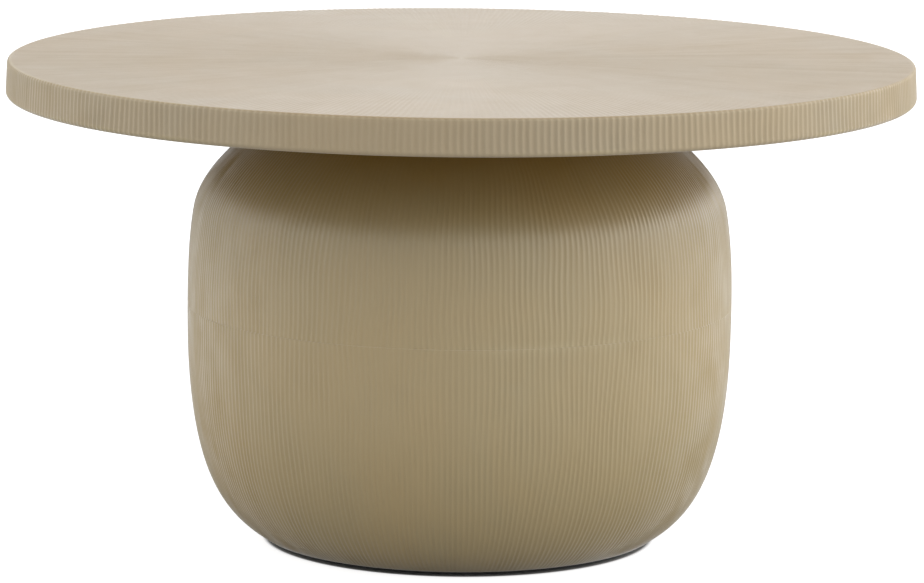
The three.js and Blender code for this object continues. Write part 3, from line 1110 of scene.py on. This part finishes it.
@dataclass
class Drum:
    """Cast drum of two fluted bowls that meet in a fine seam at the girth.

    Attributes:
        cap_top: Height of the flat cap.
        cap_radius: Radius of the cap.
        cap_thickness: Thickness of the cap.
        cap_hole: Radius of the hole in its middle.
        lip_height: Height of the lip over the floor.
        lip_radius: Radius of the lip.
        lip_land: Width of the lip's flat underside.
        girth_radius: Radius at the seam.
        girth_share: Height of the seam, as a share of the way from the lip to the cap.
        shoulder_shares: Radius of the shoulder as a share of the girth's, and its height as a
            share of the rise from the seam to the cap.
        shoulder_lean: Lean of the wall at the shoulder, in degrees outwards.
        cap_lean: Lean at the cap's edge.
        lip_lean: Lean at the lip.
        barrel_pulls: Lengths of the curve's handles below the shoulder, as shares of the rise.
        dome_pulls: The same above the shoulder.
        bowl_pulls: The same in the lower bowl, as shares of the drop from the seam to the lip.
        seam: Gap between the bowls.
        skin: Thickness of the bowls.
        flange_bottom: Height of the flange's underside.
        flange_top: Height of the flange's upper side.
        flange_inner: Radius inside the flange.
        bolt_circle: Radius of the circle of bolt holes.
        bolt_hole: Radius of a bolt hole.
        foot_circle: Radius of the circle of foot holes.
        foot_hole: Radius of a foot hole.
        painted_shade_heights: Heights between which painted shade darkens the dome under the
            tabletop.
        faded: Heights between which its flutes grow shallower.
        faded_cut: Share of their depth that they keep.
        plain_sides: Points round a smooth circle.
        hole_sides: Points round a small hole.
        upper_fluting: Flutes of the upper bowl.
        lower_fluting: Flutes of the lower bowl.
    """

    cap_top: float = 0.4272
    cap_radius: float = 0.147
    cap_thickness: float = 0.008
    cap_hole: float = 0.040
    lip_height: float = 0.005
    lip_radius: float = 0.1883
    lip_land: float = 0.0058
    girth_radius: float = 0.2593
    girth_share: float = 0.5234
    shoulder_shares: tuple[float, float] = (0.9773, 0.4523)
    shoulder_lean: float = -9.2
    cap_lean: float = -55.7
    lip_lean: float = 61.4
    barrel_pulls: tuple[float, float] = (0.217, 0.1)
    dome_pulls: tuple[float, float] = (0.187, 0.376)
    bowl_pulls: tuple[float, float] = (0.541, 0.291)
    seam: float = 0.00006
    skin: float = 0.008
    flange_bottom: float = 0.012
    flange_top: float = 0.020
    flange_inner: float = 0.130
    bolt_circle: float = 0.0998
    bolt_hole: float = 0.0045
    foot_circle: float = 0.1545
    foot_hole: float = 0.015
    painted_shade_heights: tuple[float, float] = (0.325, 0.390)
    faded: tuple[float, float] = (0.350, 0.385)
    faded_cut: float = 0.35
    plain_sides: int = 240
    hole_sides: int = 24
    upper_fluting: Fluting = field(default_factory=lambda: Fluting(
        count=305, reach=0.25, depth=0.0009, depth_share=0.14, seed=23, swell=0.00045))
    lower_fluting: Fluting = field(default_factory=lambda: Fluting(
        count=305, reach=0.25, depth=0.0009, depth_share=0.14, seed=37, swell=0.00045))

    @property
    def girth_height(self) -> float:
        """Height of the seam."""
        return self.lip_height + (self.cap_top - self.lip_height) * self.girth_share

    def upper_outline(self) -> Outline:
        """Outline of the upper bowl, from the seam to the cap's edge.

        Returns:
            The outline.
        """
        rise = self.cap_top - self.girth_height
        out, up = self.shoulder_shares
        start = np.array([self.girth_radius, self.girth_height + self.seam / 2])
        shoulder = np.array([self.girth_radius * out, self.girth_height + rise * up])
        edge = np.array([self.cap_radius, self.cap_top])
        low, high = (rise * share for share in self.barrel_pulls)
        barrel = [start, start + self.leaning(low, 0),
                  shoulder - self.leaning(high, self.shoulder_lean), shoulder]
        low, high = (rise * share for share in self.dome_pulls)
        dome = [shoulder, shoulder + self.leaning(low, self.shoulder_lean),
                edge - self.leaning(high, self.cap_lean), edge]
        return Outline([barrel, dome])

    def lower_outline(self) -> Outline:
        """Outline of the lower bowl, from the seam to the lip.

        Returns:
            The outline.
        """
        start = np.array([self.girth_radius, self.girth_height - self.seam / 2])
        edge = np.array([self.lip_radius, self.lip_height])
        drop = self.girth_height - self.lip_height
        high, low = (drop * share for share in self.bowl_pulls)
        return Outline([[start, start - self.leaning(high, 0),
                         edge + self.leaning(low, self.lip_lean), edge]])

    @staticmethod
    def leaning(length: float, degrees: float) -> np.ndarray:
        """A step of a given length from upright, leaning outwards by an angle."""
        lean = math.radians(degrees)
        return np.array([length * math.sin(lean), length * math.cos(lean)])

    def rows(self, outline: Outline, way: Way) -> Rows:
        """Rings of a bowl's outer face, from the seam outwards.

        Args:
            outline: The bowl's outline.
            way: Which way the outline runs from the seam.

        Returns:
            The rings, with the flutes fading out at the far edge and the seam's edge eased.
        """
        near = np.array([0.0, 0.0003, 0.0007, 0.0013, 0.003])
        far = outline.length - np.array([0.006, 0.003, 0.0012, 0.0])
        middle = np.linspace(0.009, outline.length - 0.012, 32)
        places = np.concatenate([near, middle, far])
        along = outline.along(places) * way.value
        inwards = np.stack([-along[:, 1], along[:, 0]], 1)
        spots = outline.at(places)
        cuts = np.interp(outline.length - places, [0.001, 0.010], [0, 1])
        cuts *= np.interp(spots[:, 1], self.faded, [1.0, self.faded_cut])
        eased = np.interp(places, [0, 0.0003, 0.0007], [0.00004, 0.00001, 0.0])
        # A paler band along the seam
        rubbed = np.interp(places, [0, 0.0013, 0.003, 0.006], [0.4, 0.4, 0.2, 0.0])
        # Painted shade on the dome under the tabletop's overhang
        deep = np.interp(spots[:, 1], self.painted_shade_heights, [0.0, 1.0])
        return Rows(spots, inwards, cuts, eased, rubbed, deep)

    def lining(self, sketch: Sketch, outline: Outline, way: Way, stop: float) -> list[np.ndarray]:
        """Adds the smooth inner face of a bowl, from the seam to a level.

        Args:
            sketch: The piece being built.
            outline: The bowl's outer outline.
            way: Which way the outline runs from the seam.
            stop: Height where the inner face ends.

        Returns:
            The point numbers of each ring.
        """
        places = np.linspace(0, outline.length, 400)
        along = outline.along(places) * way.value
        inner = outline.at(places) + np.stack([-along[:, 1], along[:, 0]], 1) * self.skin
        inner[0, 1] = outline.points[0, 1]
        heights = inner[:, 1] * way.value
        last = int(np.argmax(heights >= stop * way.value))
        end = np.interp(stop * way.value, heights[:last + 1], inner[:last + 1, 0])
        picked = np.linspace(0, last - 1, 16).astype(int)
        spots = np.vstack([inner[picked], [end, stop]])
        rings = [sketch.circle(r, z, self.plain_sides) for r, z in spots]
        for first, second in zip(rings, rings[1:]):
            sketch.band(first, second)
        return rings

    def bored(self, sketch: Sketch, circle: float, radius: float,
              middle: tuple[float, int], levels: Sequence[float]) -> list[list[np.ndarray]]:
        """Adds the walls of four holes on a circle and of one in its middle.

        Args:
            sketch: The piece being built.
            circle: Radius of the circle.
            radius: Radius of each hole on it.
            middle: Radius of the middle hole, and the points round it.
            levels: Heights of their lower and upper ends.

        Returns:
            Their lower rings and their upper rings.
        """
        holes = [(*middle, (0.0, 0.0))]
        for quarter in range(4):
            turn = quarter * TURN / 4
            centre = (circle * math.cos(turn), circle * math.sin(turn))
            holes.append((radius, self.hole_sides, centre))
        ends = [[sketch.circle(reach, level, sides, centre) for reach, sides, centre in holes]
                for level in levels]
        for lower, upper in zip(*ends):
            sketch.band(lower, upper)
        return ends

    def wall(self, sketch: Sketch, outline: Outline, way: Way, fluting: Fluting,
             stop: float) -> tuple[np.ndarray, np.ndarray]:
        """Adds both faces of a bowl's wall, joined along the seam.

        Args:
            sketch: The piece being built.
            outline: The bowl's outer outline.
            way: Which way the outline runs from the seam.
            fluting: The bowl's flutes.
            stop: Height where the inner face ends.

        Returns:
            The far rings of the outer and the inner face.
        """
        outer = sketch.fluted(self.rows(outline, way), fluting)
        inner = self.lining(sketch, outline, way, stop)
        sketch.plate(outer[0], [inner[0]])
        return outer[-1], inner[-1]

    def upper_bowl(self, material: bpy.types.Material) -> bpy.types.Object:
        """Builds the upper bowl, with its flat cap, bolt holes and middle hole.

        Args:
            material: Its finish.

        Returns:
            The new piece.
        """
        sketch, levels = Sketch(), (self.cap_top - self.cap_thickness, self.cap_top)
        outer, inner = self.wall(sketch, self.upper_outline(), Way.UP, self.upper_fluting,
                                 levels[0])
        lower, upper = self.bored(sketch, self.bolt_circle, self.bolt_hole,
                                  (self.cap_hole, self.plain_sides // 4), levels)
        sketch.plate(outer, upper)
        sketch.plate(inner, lower)
        return sketch.build("drum_upper_cast", material)

    def lower_bowl(self, material: bpy.types.Material) -> bpy.types.Object:
        """Builds the lower bowl, with its lip and the flange that turns in.

        Args:
            material: Its finish.

        Returns:
            The new piece.
        """
        sketch, levels = Sketch(), (self.flange_bottom, self.flange_top)
        outer, inner = self.wall(sketch, self.lower_outline(), Way.DOWN, self.lower_fluting,
                                 levels[1])
        land, root = (sketch.circle(self.lip_radius - self.lip_land, level, self.plain_sides)
                      for level in (self.lip_height, self.flange_bottom))
        sketch.plate(outer, [land])
        sketch.band(land, root)
        lower, upper = self.bored(sketch, self.foot_circle, self.foot_hole,
                                  (self.flange_inner, self.plain_sides), levels)
        sketch.plate(root, lower)
        sketch.plate(inner, upper)
        return sketch.build("drum_lower_cast", material)

    def assemble(self, effects: Effects) -> None:
        """Builds and dresses the drum's shells, lap ring and plinth.

        Args:
            effects: The shared effects.
        """
        cast = CastFinish("cast_drum", coat=0.45).material(effects)
        settle(self.upper_bowl(cast), "root", "cast_body", "pedestal_upper_shell")
        settle(self.lower_bowl(cast), "root", "cast_body", "pedestal_lower_shell")
        lap = CoatFinish("lap_bond", "#c4c1b6", "#b2ae9f", "#d4d1c6", 0.72, grit=320.0,
                         relief=0.0003)
        dress(["girth_lap_ring"], lap.material(effects))
        plinth = CoatFinish("plinth_paint", "#343432", "#302f2c", "#4b4945", 0.7)
        dress(["plinth_ring"], plinth.material(effects))


@dataclass
class TimberFrame:
    """Timber frame inside the drum: head disc, floor board and posts, whose screws the hardware
    dresses.
    """

    def assemble(self, effects: Effects) -> None:
        """Dresses the frame.

        Args:
            effects: The shared effects.
        """
        ply = WoodFinish("frame_plywood", "#c7a878", "#9c7748", Fibre.ALONG_X, ply=0.0013)
        dress(["head_disc", "floor_board"], ply.material(effects))
        timber = WoodFinish("post_timber", "#d2b284", "#b08a58", Fibre.ALONG_Z, scale=45.0)
        dress([f"post_{i}" for i in range(1, 5)], timber.material(effects))


@dataclass
class Hardware:
    """Screws, bolts, washers and tee nuts."""

    def assemble(self, effects: Effects) -> None:
        """Dresses the hardware.

        Args:
            effects: The shared effects.
        """
        brass = MetalFinish("yellow_zinc", "#c9a44c", "#a98a48", 0.32).material(effects)
        steel = MetalFinish("zinc_plating", "#b9bcc0", "#9a9da1", 0.3).material(effects)
        dress([f"board_screw_{i}" for i in range(1, 7)], brass)
        dress([f"post_{end}_screw_{i}" for end in ("upper", "lower") for i in range(1, 5)], brass)
        plated = ("top_tee_nut", "top_washer", "top_bolt", "foot_tee_nut")
        dress([f"{kind}_{i}" for kind in plated for i in range(1, 5)], steel)


@dataclass
class Feet:
    """Four screw feet: plated stems in dark moulded pads."""

    def assemble(self, effects: Effects) -> None:
        """Dresses the feet.

        Args:
            effects: The shared effects.
        """
        steel = MetalFinish("stem_steel", "#b4b7bb", "#94979b", 0.28).material(effects)
        dress([f"foot_stem_{i}" for i in range(1, 5)], steel)
        pad = CoatFinish("moulded_pad", "#4d4d4a", "#454441", "#64625c", 0.6, grit=900.0)
        dress([f"foot_pad_{i}" for i in range(1, 5)], pad.material(effects))


# ---- Studio ----


@dataclass(frozen=True)
class Softbox:
    """A square soft light.

    Attributes:
        name: Its name.
        place: Where it stands.
        aim: The point that it faces.
        side: Length of its side.
        power: Its power in watts.
    """

    name: str
    place: tuple[float, float, float]
    aim: tuple[float, float, float]
    side: float
    power: float

    def build(self) -> bpy.types.Object:
        """Makes the light.

        Returns:
            The new light, linked into the scene.
        """
        lamp = bpy.data.lights.new(self.name, "AREA")
        lamp.shape = "SQUARE"
        lamp.size = self.side
        lamp.energy = self.power
        thing = bpy.data.objects.new(self.name, lamp)
        thing.location = self.place
        towards = Vector(self.aim) - Vector(self.place)
        thing.rotation_euler = towards.to_track_quat("-Z", "Y").to_euler()
        bpy.context.scene.collection.objects.link(thing)
        return thing


@dataclass
class Studio:
    """Plain pale floor, soft light, white surroundings and the camera at the photograph's angle.

    Attributes:
        camera_place: Where the camera stands.
        camera_pitch: How far it looks down.
        camera_yaw: How far it turns right.
        camera_roll: How far it tips.
        lens: Its focal length in millimetres.
        floor_half: Half the floor's width.
        floor_shade: Colour of the floor as it lights the object.
        floor_glow: How bright the floor shows near the object.
        glow_reach: Distances between which it rises to full white.
        painted_contact_shadow: Distances between which the painted contact shadow at the drum's
            foot fades out, where the floor's glow is cut.
        hollow: Distances between which the floor's glow for diffuse rays fades out, painted light
            that lights the inside of the foot ring from below.
        shadow_reach: Distances between which the object's shade on the mirrored floor fades out.
        shadow_floor: How bright the mirrored floor is in that shade.
        fill: Strength of the surroundings as they light the object.
        softboxes: The lights.
    """

    camera_place: tuple[float, float, float] = (0.0, -4.6989, 1.0330)
    camera_pitch: float = 0.168
    camera_yaw: float = 0.0005
    camera_roll: float = 0.0089
    lens: float = 194.8
    floor_half: float = 30.0
    floor_shade: str = "#acacac"
    floor_glow: float = 0.85
    glow_reach: tuple[float, float] = (1.0, 3.0)
    painted_contact_shadow: tuple[float, float] = (0.1840, 0.1880)
    hollow: tuple[float, float] = (0.165, 0.170)
    shadow_reach: tuple[float, float] = (0.25, 1.1)
    shadow_floor: float = 0.03
    fill: float = 0.65
    softboxes: tuple[Softbox, ...] = (
        Softbox("over_left", (-2.4, 0.0, 2.2), (0.0, 0.0, 0.4), 2.0, 31.0),
        Softbox("over_right", (2.4, 0.0, 2.2), (0.0, 0.0, 0.4), 2.0, 25.5),
        Softbox("front", (0.0, -3.8, 2.1), (0.0, 0.0, 0.3), 1.6, 3.9),
        Softbox("front_right", (2.2, -2.4, 2.2), (0.0, 0.0, 0.3), 1.6, 17.2),
        Softbox("front_right_low", (3.0, -2.6, 1.0), (0.0, 0.0, 0.25), 1.2, 3.7),
        Softbox("right", (3.6, -0.6, 1.2), (0.0, 0.0, 0.25), 1.6, 18.0),
        Softbox("left", (-3.6, -0.6, 1.2), (0.0, 0.0, 0.25), 1.6, 5.0),
        Softbox("back_right", (3.0, 1.8, 1.4), (0.0, 0.0, 0.25), 1.6, 22.5),
    )

    def camera(self) -> None:
        """Places the camera."""
        lens = bpy.data.cameras.new("photo_camera")
        lens.lens = self.lens
        lens.sensor_fit = "HORIZONTAL"
        lens.clip_end = 200.0
        thing = bpy.data.objects.new("photo_camera", lens)
        turn = (Matrix.Rotation(-self.camera_yaw, 4, "Z")
                @ Matrix.Rotation(math.pi / 2 - self.camera_pitch, 4, "X")
                @ Matrix.Rotation(self.camera_roll, 4, "Z"))
        thing.matrix_world = Matrix.Translation(self.camera_place) @ turn
        bpy.context.scene.collection.objects.link(thing)
        bpy.context.scene.camera = thing

    @staticmethod
    def seen(wiring: Wiring) -> Socket:
        """1 for what the camera sees directly, in a reflection or through glass, else 0.

        Args:
            wiring: Adds the nodes.

        Returns:
            The number, as a node's output.
        """
        path = wiring.add("ShaderNodeLightPath").outputs
        clear = wiring.maths("MAXIMUM", path["Is Glossy Ray"], path["Is Transmission Ray"])
        return wiring.maths("MAXIMUM", path["Is Camera Ray"], clear)

    def surroundings(self) -> None:
        """White surroundings that light the object less than they show."""
        world = bpy.data.worlds.new("studio")
        world.use_nodes = True
        world.node_tree.nodes.clear()
        wiring = Wiring(world.node_tree)
        strength = wiring.remap(self.seen(wiring), 0.0, 1.0, self.fill, 1.0)
        white = wiring.add("ShaderNodeBackground", {"Color": WHITE, "Strength": strength})
        wiring.add("ShaderNodeOutputWorld", {"Surface": white.outputs[0]})
        bpy.context.scene.world = world

    def floor(self) -> None:
        """A wide pale floor that shows near white and keeps the object's soft shadow, with a
        painted contact shadow at the drum's foot and a painted glow under the foot ring.

        The camera sees through it from below.
        """
        half = self.floor_half
        mesh = bpy.data.meshes.new("floor")
        corners = [(-half, -half, 0.0), (half, -half, 0.0), (half, half, 0.0), (-half, half, 0.0)]
        mesh.from_pydata(corners, [], [(0, 1, 2, 3)])
        made = Surface("floor_paper")
        made.preset(Base_Color=paint(self.floor_shade), Roughness=0.9, Emission_Color=WHITE)
        spot = made.add("ShaderNodeNewGeometry").outputs
        away = made.add("ShaderNodeVectorMath", {0: spot["Position"]}, operation="LENGTH")
        away = away.outputs["Value"]
        lit = made.remap(away, *self.shadow_reach, self.shadow_floor, 1.0)
        path = made.add("ShaderNodeLightPath").outputs
        shown = made.maths("MAXIMUM", path["Is Camera Ray"], made.times(self.seen(made), lit))
        far = made.remap(away, *self.glow_reach, self.floor_glow, 1.0)
        # Painted contact shadow: the floor's glow is cut to nothing at the drum's foot
        clear = made.remap(away, *self.painted_contact_shadow, 0.0, 1.0)
        # Painted light: inside the foot ring the floor glows for diffuse rays and lights the drum's
        # hollow from below
        within = made.times(path["Is Diffuse Ray"], made.remap(away, *self.hollow, self.fill, 0.0))
        glow = made.maths("ADD", made.times(shown, made.times(far, clear)), within)
        made.feed(made.shader.inputs["Emission Strength"], glow)
        nothing = made.add("ShaderNodeBsdfTransparent").outputs["BSDF"]
        from_below = made.add("ShaderNodeMixShader", {
            0: spot["Backfacing"], 1: made.shader.outputs["BSDF"], 2: nothing})
        made.feed(made.output.inputs["Surface"], from_below.outputs[0])
        mesh.materials.append(made.material)
        thing = bpy.data.objects.new("floor", mesh)
        bpy.context.scene.collection.objects.link(thing)

    def assemble(self) -> None:
        """Sets up the whole studio."""
        self.camera()
        self.surroundings()
        self.floor()
        for box in self.softboxes:
            box.build()
            LOG.info("lit %s", box.name)
        bpy.context.scene.view_settings.view_transform = "Standard"


def main() -> None:
    """Builds the scene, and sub-assembly by sub-assembly."""
    logging.basicConfig(level=logging.INFO, format="%(name)s: %(message)s")
    Studio().assemble()
    effects = Effects()
    for part in (Tabletop(), Drum(), TimberFrame(), Hardware(), Feet()):
        part.assemble(effects)
        LOG.info("finished %s", type(part).__name__)


if __name__ == "__main__":
    main()
